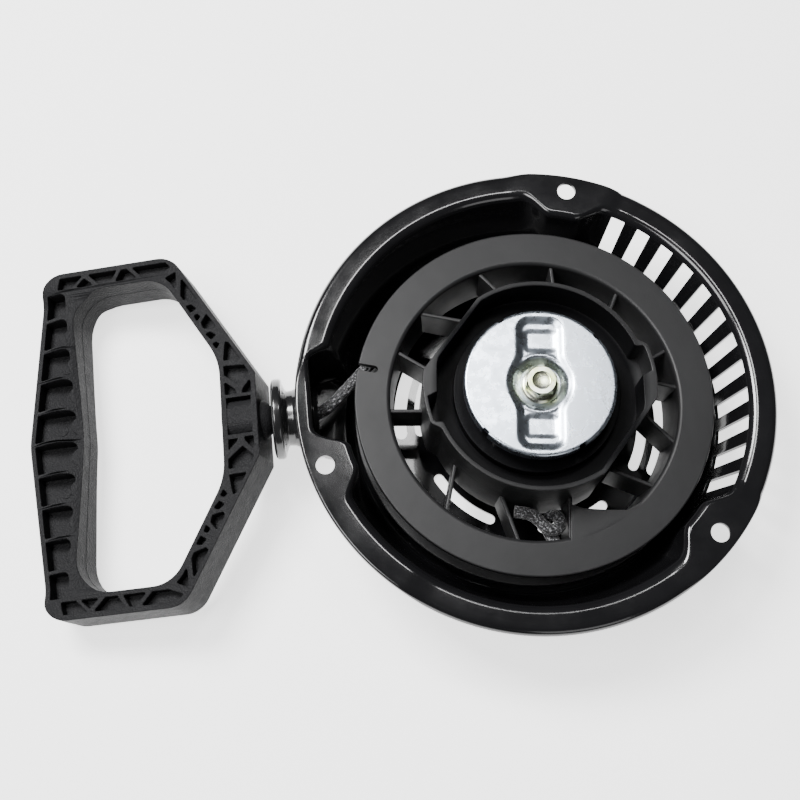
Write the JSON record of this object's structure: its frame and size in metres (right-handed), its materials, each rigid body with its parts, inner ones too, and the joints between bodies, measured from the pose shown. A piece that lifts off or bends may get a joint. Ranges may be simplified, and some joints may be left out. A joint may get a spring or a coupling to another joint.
{
  "type": "recoil starter",
  "caption": "Recoil starter: stamped steel bowl with mounting flange, rope pulley with pawls under a retainer plate, coil spring, and a mitten grip on a rope",
  "frame": {"origin": "on the crank axis, in the plane of the mounting pads", "axes": "+Z towards the engine, -X along the rope's pull, +Y to complete a right-handed frame"},
  "size_m": [0.2784, 0.176, 0.0569],
  "materials": {
    "gloss_black_paint": "gloss black powder paint on stamped steel",
    "black_polypropylene": "moulded satin black polypropylene",
    "textured_nylon": "spark-textured black glass-filled nylon",
    "zinc_plate": "bright zinc plate with a clear blue passivate",
    "yellow_zinc": "zinc plate with a pale yellow-green passivate",
    "machined_steel": "turned steel, lightly oiled",
    "hardened_steel": "sintered hardened steel, oiled",
    "spring_steel": "blued spring steel",
    "polished_black": "polished black enamel",
    "braided_rope": "black braided nylon with pale flecks"
  },
  "bodies": {
    "housing": {"starter_housing": "gloss_black_paint", "centre_post": "machined_steel", "rope_guide": "polished_black", "centre_bolt": "yellow_zinc", "rear_thrust_washer": "machined_steel"},
    "pulley": {"pulley": "black_polypropylene", "drum_rope": "braided_rope", "drum_knot": "braided_rope", "recoil_spring": "spring_steel", "front_thrust_washer": "machined_steel"},
    "retainer": {"retainer_plate": "zinc_plate", "friction_spring": "spring_steel"},
    "pawl_a": {"pawl_a": "hardened_steel", "pawl_spring_a": "spring_steel"},
    "pawl_b": {"pawl_b": "hardened_steel", "pawl_spring_b": "spring_steel"},
    "rope_end": {"rope_lead": "braided_rope"},
    "handle_stem": {"handle_rope": "braided_rope"},
    "handle": {"handle_grip": "textured_nylon", "handle_knot": "braided_rope", "knot_washer": "zinc_plate"}
  },
  "joints": [
    {"name": "pulley_spin", "type": "hinge", "parent": "housing", "child": "pulley", "pos_m": [0, 0, -0.01], "axis": [0, 0, 1], "range_deg": [0, 1035], "stiffness_Nm_per_rad": 0.06, "springref_deg": -171.89, "deforming": ["recoil_spring"]},
    {"name": "plate_turn", "type": "hinge", "parent": "pulley", "child": "retainer", "pos_m": [0, 0, 0.005], "axis": [0, 0, 1], "range_deg": [-36, 0]},
    {"name": "pawl_a_swing", "type": "hinge", "parent": "pulley", "child": "pawl_a", "pos_m": [0.017, 0, 0.002], "axis": [0, 0, 1], "range_deg": [-34, 0], "deforming": ["pawl_spring_a"]},
    {"name": "pawl_b_swing", "type": "hinge", "parent": "pulley", "child": "pawl_b", "pos_m": [-0.017, 0, 0.002], "axis": [0, 0, 1], "range_deg": [-34, 0], "deforming": ["pawl_spring_b"]},
    {"name": "handle_pull", "type": "slide", "parent": "housing", "child": "rope_end", "axis": [-1, 0, 0], "range_m": [0, 1.03], "deforming": ["rope_lead"]},
    {"name": "handle_twist", "type": "hinge", "parent": "rope_end", "child": "handle_stem", "pos_m": [-0.105, 0.003, -0.019], "axis": [1, 0, 0], "range_deg": [-90, 90]},
    {"name": "handle_tilt", "type": "hinge", "parent": "handle_stem", "child": "handle", "pos_m": [-0.105, 0.003, -0.019], "axis": [0, 1, 0], "range_deg": [-7, 25], "deforming": ["handle_rope"]}
  ],
  "couplings": [
    {"joint": "handle_pull", "follows": "pulley_spin", "m_per_rad": 0.05685},
    {"joint": "pawl_a_swing", "follows": "plate_turn", "ratio": 0.94},
    {"joint": "pawl_b_swing", "follows": "plate_turn", "ratio": 0.94}
  ]
}
